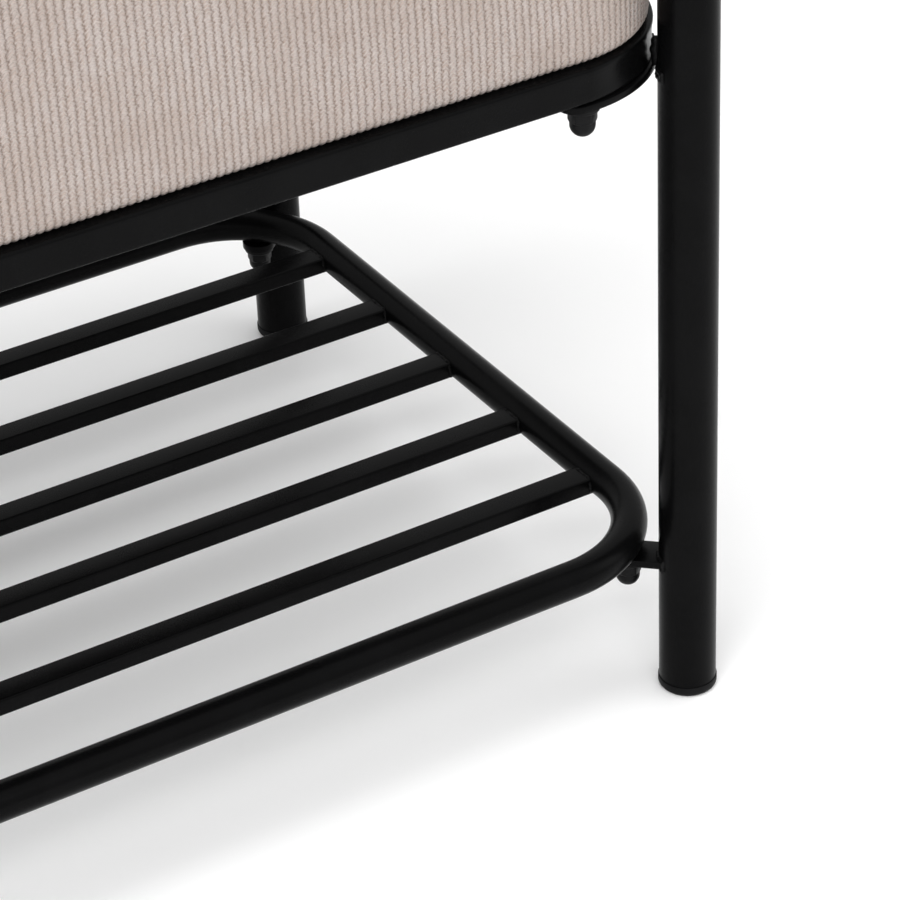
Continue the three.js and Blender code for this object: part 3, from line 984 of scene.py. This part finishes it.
# ---------------------------------------------------------------- cushion
class Outline:
    """The cushion's rounded rectangle, as a place for each length along it."""

    def __init__(self, half_x, half_y, corner):
        self.half_x, self.half_y, self.corner = half_x, half_y, corner
        self.long, self.short = 2 * (half_x - corner), 2 * (half_y - corner)
        self.arc = RIGHT_ANGLE * corner
        self.around = 2 * (self.long + self.short) + 4 * self.arc

    def at(self, along, inset):
        """Places on the outline drawn in by an inset. Lengths start at the middle of the front."""
        along = np.mod(along + self.long / 2, self.around)
        place = np.zeros((len(along), 2))
        start = 0.0
        for quarter in range(4):
            straight = self.short if quarter % 2 else self.long
            angle = quarter * RIGHT_ANGLE
            ahead = np.array([math.cos(angle), math.sin(angle)])
            out = np.array([math.sin(angle), -math.cos(angle)])
            centre = self.corner_centre(quarter)
            onto = (along - start)[:, None]
            line = centre + ahead * (onto - straight) + out * (self.corner - inset)
            place = np.where((onto > -1e-9) & (onto < straight + 1e-9), line, place)
            onto = onto - straight
            swung = onto / self.corner
            bend = centre + (out * np.cos(swung) + ahead * np.sin(swung)) * (self.corner - inset)
            place = np.where((onto > -1e-9) & (onto < self.arc + 1e-9), bend, place)
            start += straight + self.arc
        return place

    def corner_centre(self, quarter):
        x, y = self.half_x - self.corner, self.half_y - self.corner
        return np.array([(x, -y), (x, y), (-x, y), (-x, -y)][quarter])

    def inside(self, x, y):
        """How far inside the outline a point is."""
        dx = np.abs(x) - (self.half_x - self.corner)
        dy = np.abs(y) - (self.half_y - self.corner)
        straight = self.corner - np.maximum(dx, dy)
        return np.where((dx > 0) & (dy > 0), self.corner - np.hypot(dx, dy), straight)


def eased(values, share):
    """Catmull-Rom interpolation of rows of points at fractional row numbers."""
    last = len(values) - 1
    low = np.clip(np.floor(share).astype(int), 0, last - 1)
    t = (share - low).reshape((-1,) + (1,) * (values.ndim - 1))
    a, b, c, d = (values[np.clip(low + k, 0, last)] for k in (-1, 0, 1, 2))
    return b + t * ((c - a) / 2 + t * (a - 2.5 * b + 2 * c - d / 2 + t * ((d - a) / 2 + 1.5 * (b - c))))


def eased_across(values, share):
    return eased(values.swapaxes(0, 1), share).swapaxes(0, 1)


def eased_round(ring_rows, share):
    """The same across rows that close on themselves."""
    closed = np.concatenate([ring_rows[:, -1:], ring_rows, ring_rows[:, :2]], axis=1)
    return eased_across(closed, share + 1)


def normals(ahead, up):
    """Unit normals of a grid of points, from its two directions."""
    out = np.cross(ahead, up)
    return out / np.maximum(np.linalg.norm(out, axis=-1, keepdims=True), 1e-12)


def split_cells(lengths, step):
    """Fractional cell numbers that cut each cell of a run into pieces of about a step."""
    shares = []
    for cell, reach in enumerate(lengths):
        pieces = max(1, round(reach / step))
        shares += [cell + i / pieces for i in range(pieces)]
    return np.array(shares)


def eased_step(value, low, high):
    t = np.clip((value - low) / (high - low), 0, 1)
    return t * t * (3 - 2 * t)


class BENCH_OT_cushion(bpy.types.Operator):
    """Press the foam into its cover, then weave the ribs onto it"""

    bl_idname = "bench.cushion"
    bl_label = "Cushion"

    side_cells = 11
    row_cells = 32
    corner_cells = 8
    front_cells = 84
    pressed_frames = 20
    seam_angle = RIGHT_ANGLE / 2
    seam_depth = 1.3 * MM
    seam_width = 2.4 * MM
    fine_step = 0.62 * MM
    cover_depth = 2.6 * MM
    fold_depth = 1.5 * MM
    fold_pleat = 16
    fold_insets = (24 * MM, 15 * MM, 9 * MM)
    calm = 4 * MM
    pressure = 4
    held_height = 14 * MM

    def execute(self, context):
        size = context.scene.bench_cushion
        low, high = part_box("cushion_cover")
        self.size, self.low, self.high = size, low, high
        self.outline = Outline(high.x, high.y, size.corner)
        self.seam_inset = size.edge * (1 - math.cos(self.seam_angle))
        self.across = self.front_cells + 2 * self.corner_cells
        side, top = self.cage()
        side, top = self.press(side, top)
        self.foam_core(side, top)
        piece = self.weave(side, top)
        take(piece)
        bpy.ops.object.shade_smooth()
        own(piece, "ribbed_weave", "ribbed_weave", "cushion_cover")
        return {"FINISHED"}

    def profile(self):
        """(inset, height) up the side, from under the board to the seam in the rounded top edge."""
        size, base, top = self.size, self.low.z, self.high.z
        roll, edge = size.under_edge, size.edge
        under = [
            (roll * (1 - math.sin(a)), base + roll * (1 - math.cos(a)))
            for a in (RIGHT_ANGLE * share for share in (0, 1 / 3, 2 / 3, 1))
        ]
        foot = base + roll
        rise = top - edge - foot
        straight = [(0, foot + rise * (i + 1) / self.side_cells) for i in range(self.side_cells)]
        angles = (self.seam_angle * share for share in (1 / 3, 2 / 3, 1))
        shoulder = [(edge * (1 - math.cos(a)), top - edge + edge * math.sin(a)) for a in angles]
        return under + straight + shoulder

    def rows(self):
        """The top's rows from front to back, as shares from -1 to 1, close together over the rounded edges."""
        edge, half = self.size.edge, self.high.y - self.seam_inset
        angles = (self.seam_angle + (RIGHT_ANGLE - self.seam_angle) * share for share in (0, 1 / 3, 2 / 3))
        border = [1 - (edge * (1 - math.cos(a)) - self.seam_inset) / half for a in angles]
        flat = 1 - (edge - self.seam_inset) / half
        middle = np.linspace(-flat, flat, self.row_cells + 1)
        return np.concatenate([[-share for share in border], middle, border[::-1]])

    def stations(self, rows):
        """Lengths along the outline of the cage's columns, from the front's left corner onwards."""
        outline = self.outline
        corner = np.linspace(0, outline.arc, self.corner_cells + 1)[:-1]
        front = np.linspace(0, outline.long, self.front_cells + 1)[:-1]
        end = (rows[:-1] + 1) * outline.short / 2
        start = -outline.long / 2 - outline.arc
        lengths = []
        for straight, cells in ((outline.long, front), (outline.short, end)) * 2:
            lengths += [start + corner, start + outline.arc + cells]
            start += outline.arc + straight
        return np.concatenate(lengths)

    def cage(self):
        """The resting shape as two grids of points, the side and the top, which share the seam."""
        rows = self.rows()
        lengths = self.stations(rows)
        side = []
        for inset, height in self.profile():
            flat = self.outline.at(lengths, inset)
            side.append(np.column_stack([flat, np.full(len(lengths), height)]))
        side = np.array(side)
        front = side[-1][: self.across + 1]
        x = np.broadcast_to(front[:, 0], (len(rows), len(front)))
        y = rows[:, None] * -front[:, 1]
        edge = self.size.edge
        short = np.clip(edge - self.outline.inside(x, y), 0, edge)
        z = self.high.z - edge + np.sqrt(edge**2 - short**2)
        return side, np.stack([x, y, z], axis=-1)

    def closed_cage(self, side, top, name):
        """The cage as one closed object, its points and the point numbers of its top."""
        rows, ring = side.shape[:2]
        points = np.concatenate([side.reshape(-1, 3), top[1:-1, 1:-1].reshape(-1, 3)])
        index = self.top_index(top.shape, ring, (rows - 1) * ring, np.arange(len(top)))
        grid = np.arange(rows * ring).reshape(rows, ring)
        grid = np.concatenate([grid, grid[:, :1]], axis=1)
        faces = quads(grid).tolist() + quads(index).tolist() + [list(range(ring))[::-1]]
        mesh = bpy.data.meshes.new(name)
        mesh.from_pydata(points.tolist(), [], faces)
        return placed(name, mesh), points, index

    def foam_core(self, side, top):
        """The foam under the cover, cut flat where it is glued to the board."""
        foam, _, _ = self.closed_cage(side, top, "foam_core")
        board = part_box("seat_board")[1].z + 0.3 * MM
        with editing(foam):
            bpy.ops.transform.shrink_fatten(value=-self.cover_depth)
            bpy.ops.mesh.bisect(plane_co=(0, 0, board), plane_no=(0, 0, 1), use_fill=True, clear_inner=True)
        face_out(foam)
        smooth(foam)
        own(foam, "open_foam", "foam", "foam_block")

    def press(self, side, top):
        """Swells the closed cage as cloth under pressure, held where the board backs it.

        The whole movement is scaled down by one number, so that the cloth's own crown is kept.
        """
        rows, ring = side.shape[:2]
        foam, points, index = self.closed_cage(side, top, "pressed_foam")
        held = foam.vertex_groups.new(name="held")
        held.add([i for i, place in enumerate(points) if place[2] < self.low.z + self.held_height], 1, "REPLACE")
        cloth = foam.modifiers.new("Cloth", "CLOTH")
        settings = cloth.settings
        settings.use_pressure = True
        settings.uniform_pressure_force = self.pressure
        settings.vertex_group_mass = "held"
        settings.effector_weights.gravity = 0
        for number in range(1, self.pressed_frames + 1):
            bpy.context.scene.frame_set(number)
        take(foam)
        bpy.ops.object.modifier_apply(modifier=cloth.name)
        moved = np.array([vertex.co for vertex in foam.data.vertices]) - points
        bpy.context.scene.frame_set(1)
        bpy.data.objects.remove(foam)
        furthest = np.linalg.norm(moved, axis=1).max()
        pressed = points + moved * min(1, self.size.crown / furthest)
        return pressed[: rows * ring].reshape(side.shape), pressed[index]

    @staticmethod
    def top_index(shape, ring, seam, marks):
        """Point numbers of the top's grid, whose border is the seam; a mark says where each row meets it."""
        rows, columns = shape[:2]
        wide, deep = columns - 1, int(marks[-1])
        index = np.zeros((rows, columns), int)
        inner = seam + ring + np.arange((rows - 2) * (columns - 2))
        index[1:-1, 1:-1] = inner.reshape(rows - 2, columns - 2)
        index[0] = seam + np.arange(columns)
        index[-1] = seam + wide + deep + np.arange(columns)[::-1]
        index[:, -1] = seam + wide + marks
        index[:, 0] = seam + (2 * wide + 2 * deep - marks) % ring
        return index

    def weave(self, side, top):
        """The fine cover: ribs round the side and over the top, a seam between and the fold under the board."""
        outline = self.outline
        row_shares, across, end, marks = self.fine_shares(top)
        deep, columns = len(top) - 1, self.across
        ring = np.concatenate(
            [across, columns + end, columns + deep + across, 2 * columns + deep + end]
        )
        fine_side = eased_round(eased(side, self.side_shares(len(side))), ring)
        fine_top = eased_across(eased(top, row_shares), np.append(across, columns))
        lengths = self.fine_lengths(ring)
        ribs = round(outline.around / self.size.rib)
        pitch = outline.around / ribs
        side_uv, fine_side = self.dress_side(fine_side, lengths, pitch)
        top_uv, fine_top = self.dress_top(fine_top, pitch)
        return self.stitch(fine_side, side_uv, fine_top, top_uv, marks, ribs)

    def fine_shares(self, top):
        """Where the fine rows and columns lie, counted in cells of the cage."""
        cells = len(top) - 1
        borders = {0: 6, 1: 3, 2: 2, cells - 3: 2, cells - 2: 3, cells - 1: 6}
        row_shares = [r + i / borders.get(r, 2) for r in range(cells) for i in range(borders.get(r, 2))]
        row_shares = np.array([*row_shares, cells])
        arc, front = self.outline.arc / self.corner_cells, self.outline.long / self.front_cells
        lengths = [arc] * self.corner_cells + [front] * self.front_cells + [arc] * self.corner_cells
        across = split_cells(lengths, self.fine_step)
        ends = (self.rows() + 1) * self.outline.short / 2
        along = np.interp(row_shares, np.arange(cells + 1), ends)
        pieces = [max(1, round(reach / self.fine_step)) for reach in np.diff(along)]
        end = [
            start + (stop - start) * i / count
            for start, stop, count in zip(row_shares, row_shares[1:], pieces) for i in range(count)
        ]
        return row_shares, across, np.array(end), np.concatenate([[0], np.cumsum(pieces)])

    @staticmethod
    def side_shares(rows):
        """Two fine rows in each cell of the side, and more beside the seam."""
        shares = [r + half for r in range(rows - 2) for half in (0, 0.5)]
        return np.array([*shares, *(rows - 2 + share for share in (0, 0.3, 0.55, 0.75, 0.88, 1))])

    def fine_lengths(self, ring):
        """Length along the outline of each fine column."""
        lengths = self.stations(self.rows())
        closed = np.append(lengths, lengths[0] + self.outline.around)
        return np.interp(ring, np.arange(len(closed)), closed)

    def relief(self, ribs, from_seam):
        """Height of the yarn: round on a rib, sharp in the gap, calmer beside the seam and sunk in it."""
        off = 2 * np.abs(ribs - np.floor(ribs) - 0.5)
        height = self.size.rib_height * (0.62 - off**2.4)
        swell = height * (0.25 + 0.75 * eased_step(from_seam, 0, self.calm))
        groove = self.seam_depth * np.exp(-((from_seam / self.seam_width) ** 2))
        return (swell - groove)[..., None]

    def dress_side(self, points, lengths, pitch):
        ahead = np.roll(points, -1, axis=1) - np.roll(points, 1, axis=1)
        out = normals(ahead, np.gradient(points, axis=0))
        climb = np.linalg.norm(np.diff(points, axis=0), axis=2).mean(axis=1)
        climb = np.concatenate([[0], np.cumsum(climb)])
        from_seam = (climb[-1] - climb)[:, None]
        ribs = np.broadcast_to(lengths / pitch, points.shape[:2])
        uv = np.stack([ribs, np.broadcast_to(climb[:, None] / self.size.stitch, ribs.shape)], axis=-1)
        return uv, points + out * self.relief(ribs, from_seam)

    def dress_top(self, points, pitch):
        out = normals(np.gradient(points, axis=1), np.gradient(points, axis=0))
        from_seam = self.outline.inside(points[..., 0], points[..., 1]) - self.seam_inset
        ribs = points[..., 0] / pitch
        uv = np.stack([ribs, points[..., 1] / self.size.stitch], axis=-1)
        return uv, points + out * self.relief(ribs, from_seam)

    def fold(self, side):
        """Rings of the fabric turned under the board, from its inner edge to the lower edge of the side."""
        first = side[0]
        half = np.array([self.high.x, self.high.y, 1])
        rings = []
        for inset in (self.size.turn_under, *self.fold_insets):
            shrink = inset - self.size.under_edge
            corner = np.sign(first) * np.minimum(np.abs(first), half - self.size.corner)
            spoke = first - corner
            spoke[:, 2] = 0
            reach = np.maximum(np.linalg.norm(spoke, axis=1, keepdims=True), 1e-9)
            ring = first - spoke / reach * np.minimum(shrink, reach)
            ring[:, 2] = self.low.z + (first[:, 2] - self.low.z) * eased_step(-inset, -self.size.turn_under, 0)
            rings.append(ring)
        return np.array(rings)

    def stitch(self, side, side_uv, top, top_uv, marks, ribs):
        """Joins the fold, the side and the top in one closed mesh with its UV map."""
        fold = self.fold(side)
        side = np.concatenate([fold, side])
        lift = np.arange(-len(fold), 0)[:, None] * 3.0
        under_uv = np.stack(np.broadcast_arrays(side_uv[0, :, 0], lift), axis=-1)
        side_uv = np.concatenate([under_uv, side_uv])
        rows, ring = side.shape[:2]
        grid = np.arange(rows * ring).reshape(rows, ring)
        grid = np.concatenate([grid, grid[:, :1]], axis=1)
        wrap = side_uv[:, :1] + [ribs, 0]
        grid_uv = np.concatenate([side_uv, wrap], axis=1)
        index = self.top_index(top.shape, ring, (rows - 1) * ring, marks)
        borders, border_uv = self.end_faces(index, top_uv, marks, (rows - 1) * ring, ring)
        inner = quads(index[:, 1:-1])
        inner_uv = quads(top_uv[:, 1:-1])
        points = np.concatenate([side.reshape(-1, 3), top[1:-1, 1:-1].reshape(-1, 3)])
        closing, closing_uv, lid = self.lid(side[0], len(points))
        points = np.concatenate([points, lid])
        faces = quads(grid).tolist() + inner.tolist() + borders + closing
        uvs = [quads(grid_uv).reshape(-1, 2), inner_uv.reshape(-1, 2), border_uv, closing_uv]
        mesh = bpy.data.meshes.new("cushion")
        mesh.from_pydata(points.tolist(), [], faces)
        mesh.uv_layers.new(name="ribs").data.foreach_set("uv", np.concatenate(uvs).ravel())
        mesh.update()
        return placed("cushion", mesh)

    @staticmethod
    def end_faces(index, top_uv, marks, seam, ring):
        """The faces of the fine top's two ends, which take in all of the seam's points, and their UVs."""
        wide, deep = index.shape[1] - 1, int(marks[-1])
        borders, uvs = [], []
        for r in range(len(index) - 1):
            right = seam + wide + np.arange(marks[r], marks[r + 1] + 1)
            borders.append([int(index[r, -2]), *right.tolist(), int(index[r + 1, -2])])
            share = np.linspace(0, 1, len(right))[:, None]
            edge_uv = top_uv[r, -1] * (1 - share) + top_uv[r + 1, -1] * share
            uvs.append(np.concatenate([top_uv[r, -2:-1], edge_uv, top_uv[r + 1, -2:-1]]))
            down = 2 * wide + 2 * deep - np.arange(marks[r], marks[r + 1] + 1)
            left = (seam + down % ring)[::-1]
            borders.append([int(index[r + 1, 1]), *left.tolist(), int(index[r, 1])])
            edge_uv = top_uv[r + 1, 0] * (1 - share) + top_uv[r, 0] * share
            uvs.append(np.concatenate([top_uv[r + 1, 1:2], edge_uv, top_uv[r, 1:2]]))
        return borders, np.concatenate(uvs)

    def lid(self, ring, first):
        """Closes the fold over the dust cover: a low wall up from its inner edge and one flat face."""
        count = len(ring)
        kept = np.arange(0, count, self.fold_pleat)
        lid = ring[kept] + [0, 0, self.fold_depth]
        faces, uvs = [], []
        for i, start in enumerate(kept):
            stop = kept[i + 1] if i + 1 < len(kept) else count
            outer = np.arange(start, stop + 1) % count
            face = [*outer[::-1].tolist(), first + i, first + (i + 1) % len(kept)]
            faces.append(face)
            uvs.append(np.zeros((len(face), 2)))
        flat = [first + i for i in range(len(kept))][::-1]
        uvs.append(np.zeros((len(flat), 2)))
        return faces + [flat], np.concatenate(uvs), lid


def quads(grid):
    """The four corners' numbers, or their values, of each face between a grid's rows and columns."""
    corners = np.stack([grid[:-1, :-1], grid[:-1, 1:], grid[1:, 1:], grid[1:, :-1]], axis=2)
    return corners.reshape(-1, 4, *grid.shape[2:])


# ---------------------------------------------------------------- stage
class BENCH_OT_stage(bpy.types.Operator):
    """Set the floor, the soft light and the camera"""

    bl_idname = "bench.stage"
    bl_label = "Stage"

    def execute(self, context):
        stage = context.scene.bench_stage
        self.floor(stage)
        self.light(stage)
        self.camera(stage)
        context.scene.view_settings.view_transform = "Standard"
        return {"FINISHED"}

    @staticmethod
    def floor(stage):
        floor = add("plane", "floor", size=12)
        graph = surface("pale_floor")
        mottle = graph.noise(graph.object_place(), 3, 2)
        shade = graph.blend(mottle, stage.floor, [0.99 * c for c in stage.floor])
        floor.data.materials.append(graph.finish(shade, 0.9, Specular_IOR_Level=0.1))

    @staticmethod
    def light(stage):
        graph = Graph(bpy.data.worlds.new("white_room"))
        towards = graph.out(graph.node("ShaderNodeTexCoord"), "Generated")
        split = graph.node("ShaderNodeSeparateXYZ", Vector=towards)
        stops = [(0, 0.4), (0.45, 0.6), (0.62, 0.85), (1, 1.25)]
        sky = graph.node("ShaderNodeValToRGB", {"stops": stops}, Fac=graph.out(split, 2) * 0.5 + 0.5)
        room = graph.node("ShaderNodeBackground", Color=graph.out(sky), Strength=stage.world)
        graph.node("ShaderNodeOutputWorld", Surface=graph.out(room))
        bpy.context.scene.world = graph.made
        lamp("key_light", (-1.2, -0.6, 2.4), (0, 0, 0.2), 2.4, stage.key)
        lamp("fill_light", (2.4, -1.2, 1.2), (0.4, 0, 0.3), 1.4, stage.fill)
        strip = lamp("strip_light", (-0.7, -1.9, 2.0), (0, 0, 0.2), 2.6, stage.strip)
        strip.shape, strip.size_y = "RECTANGLE", 0.22

    @staticmethod
    def camera(stage):
        a, e, r = stage.azimuth, stage.elevation, stage.roll
        forward = Vector((-math.sin(a) * math.cos(e), math.cos(a) * math.cos(e), -math.sin(e)))
        right = forward.cross(Vector((0, 0, 1))).normalized()
        down = forward.cross(right)
        across = right * math.cos(r) - down * math.sin(r)
        under = right * math.sin(r) + down * math.cos(r)
        data = bpy.data.cameras.new("camera")
        data.lens, data.sensor_width = stage.lens, 36
        data.clip_start, data.clip_end = 0.05, 50
        camera = placed("camera", data)
        turned = Matrix((across, -under, -forward)).transposed().to_4x4()
        camera.matrix_world = Matrix.Translation(stage.place) @ turned
        bpy.context.scene.camera = camera


def lamp(name, place, target, size, power):
    data = bpy.data.lights.new(name, "AREA")
    data.shape, data.size, data.energy = "DISK", size, power
    light = placed(name, data)
    light.location = place
    light.rotation_euler = (Vector(target) - Vector(place)).to_track_quat("-Z", "Y").to_euler()
    return data


# ---------------------------------------------------------------- inner parts
class BENCH_OT_inner_parts(bpy.types.Operator):
    """Finish the parts that keep their plain shape: studs, board and dust cover"""

    bl_idname = "bench.inner_parts"
    bl_label = "Inner parts"

    def execute(self, context):
        for name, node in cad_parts.items():
            finish = self.finish_of(name)
            if finish:
                node.data.materials.clear()
                node.data.materials.append(material(finish))
        return {"FINISHED"}

    @staticmethod
    def finish_of(name):
        fixed = {"seat_board": "plywood", "dust_cover": "nonwoven"}
        return "black_plating" if "_stud_" in name else fixed.get(name)


# ---------------------------------------------------------------- panel and registration
PIECES = (
    BENCH_OT_end_hoops, BENCH_OT_foot_caps, BENCH_OT_rack_tube, BENCH_OT_rack_slats, BENCH_OT_rack_tabs,
    BENCH_OT_seat_rail, BENCH_OT_cross_bars, BENCH_OT_seat_plates, BENCH_OT_cap_nuts, BENCH_OT_screws,
    BENCH_OT_welds, BENCH_OT_cushion, BENCH_OT_inner_parts, BENCH_OT_stage,
)
SETTINGS = {
    "bench_frame": BENCH_PG_frame, "bench_nut": BENCH_PG_nut, "bench_cushion": BENCH_PG_cushion,
    "bench_finish": BENCH_PG_finish, "bench_stage": BENCH_PG_stage,
}


class BENCH_PT_panel(bpy.types.Panel):
    """The bench's pieces and their sizes"""

    bl_label = "Entryway Bench"
    bl_space_type = "VIEW_3D"
    bl_region_type = "UI"
    bl_category = "Bench"

    def draw(self, context):
        for piece in PIECES:
            self.layout.operator(piece.bl_idname)
        for name, group in SETTINGS.items():
            box = self.layout.box()
            for field in group.__annotations__:
                box.prop(getattr(context.scene, name), field)


def register():
    for part in (*SETTINGS.values(), *PIECES, BENCH_PT_panel):
        bpy.utils.register_class(part)
    for name, group in SETTINGS.items():
        setattr(bpy.types.Scene, name, bpy.props.PointerProperty(type=group))


def unregister():
    for name in SETTINGS:
        delattr(bpy.types.Scene, name)
    for part in reversed((*SETTINGS.values(), *PIECES, BENCH_PT_panel)):
        bpy.utils.unregister_class(part)


def main():
    register()
    for piece in PIECES:
        getattr(bpy.ops.bench, piece.bl_idname.split(".")[1])()


if __name__ == "__main__":
    main()
